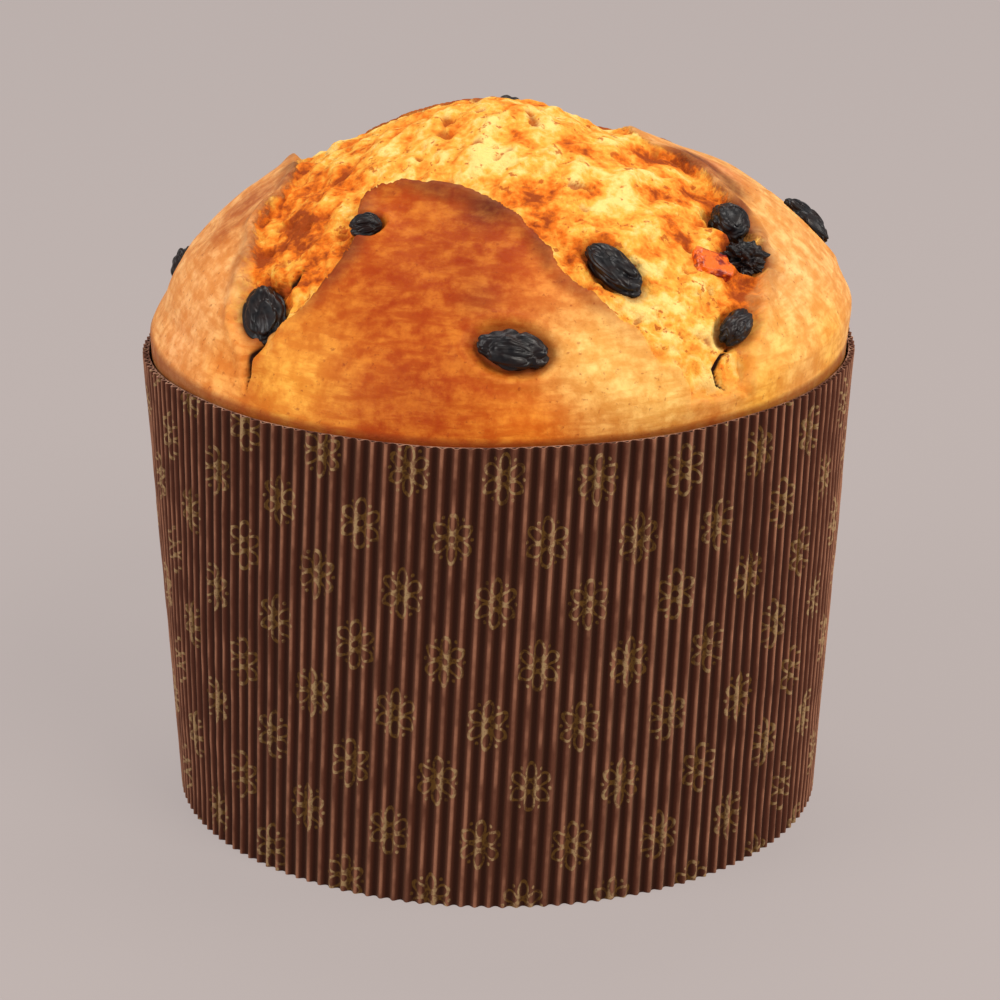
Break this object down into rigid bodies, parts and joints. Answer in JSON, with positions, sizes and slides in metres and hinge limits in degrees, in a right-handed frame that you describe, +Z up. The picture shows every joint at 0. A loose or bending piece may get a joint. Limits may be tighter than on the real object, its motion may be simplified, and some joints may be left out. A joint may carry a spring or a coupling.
{
  "type": "panettone in paper baking case",
  "caption": "Domed fruit loaf baked in a round, slightly tapered case of corrugated paper with a lap seam and a separate base disc.",
  "frame": {"origin": "on the table, under the middle of the case", "axes": "+Z up, -Y towards the picture's camera, +X to the picture's right"},
  "size_m": [0.164, 0.164, 0.1649],
  "materials": {
    "case_paper": "satin",
    "base_paper": "matte",
    "crust": "satin",
    "raisin": "gloss",
    "candied_peel": "gloss"
  },
  "bodies": {
    "root": {"case_wall": "case_paper", "base_disc": "base_paper", "loaf": "crust", "raisin_front_left": "raisin", "raisin_front_small": "raisin", "raisin_front": "raisin", "raisin_front_right": "raisin", "raisin_right_upper": "raisin", "raisin_right_burnt": "raisin", "raisin_right_lower": "raisin", "raisin_right_side": "raisin", "raisin_crown": "raisin", "raisin_back_right": "raisin", "raisin_back": "raisin", "raisin_back_left": "raisin", "raisin_left_back": "raisin", "candied_peel_right": "candied_peel", "candied_peel_back": "candied_peel"}
  },
  "joints": []
}
